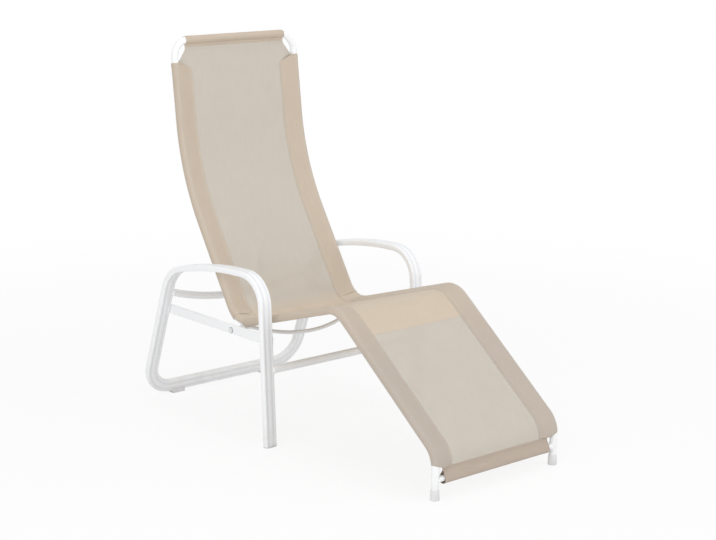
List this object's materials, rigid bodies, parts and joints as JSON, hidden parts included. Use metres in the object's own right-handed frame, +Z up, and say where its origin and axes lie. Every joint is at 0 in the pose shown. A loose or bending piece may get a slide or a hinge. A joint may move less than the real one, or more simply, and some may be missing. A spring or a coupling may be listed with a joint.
{
  "type": "sun lounger",
  "caption": "Tilting sun lounger: mesh fabric sling on a bent tube seat frame, pivoted between the side braces of a white tube base whose arms, rear uprights and floor runner are one hoop.",
  "frame": {"origin": "on the floor in the middle of the footprint", "axes": "+Z up, +Y towards the head end, +X towards the sitter's left"},
  "size_m": [0.657, 1.3067, 1.1763],
  "materials": {
    "frame_white": "satin white powder coat",
    "sling_mesh": "woven coated mesh, cream",
    "sling_double": "woven coated mesh, two layers",
    "white_plastic": "matt moulded",
    "bush_plastic": "plain bearing plastic",
    "steel": "zinc plated"
  },
  "bodies": {
    "base": {"base_hoop": "frame_white", "side_brace_left": "frame_white", "side_brace_right": "frame_white", "brace_end_plugs": "white_plastic", "front_crossbar": "frame_white", "rear_crossbar": "frame_white", "front_leg_plug_left": "white_plastic", "front_leg_plug_right": "white_plastic", "rear_pad_left": "white_plastic", "rear_pad_right": "white_plastic", "rear_pad_screws": "steel", "pivot_bush_left": "bush_plastic", "pivot_bush_right": "bush_plastic", "pivot_washers": "steel"},
    "lounger": {"seat_frame": "frame_white", "hinge_lug_left": "frame_white", "hinge_lug_right": "frame_white", "spreader_rod": "frame_white", "pivot_bolts": "steel", "pivot_cap_left": "white_plastic", "pivot_cap_right": "white_plastic", "pivot_spacer_left": "frame_white", "pivot_spacer_right": "frame_white", "foot_crossbar": "frame_white", "foot_ferrule_left": "white_plastic", "foot_ferrule_right": "white_plastic", "sling_panel": "sling_mesh", "back_sleeve_left": "sling_double", "back_sleeve_right": "sling_double", "leg_sleeve_left": "sling_double", "leg_sleeve_right": "sling_double", "top_hem": "sling_double", "foot_hem": "sling_double"}
  },
  "joints": [
    {"name": "recline", "type": "hinge", "parent": "base", "child": "lounger", "pos_m": [0, 0.222, 0.3135], "axis": [-1, 0, 0], "range_deg": [0, 40.6]}
  ]
}
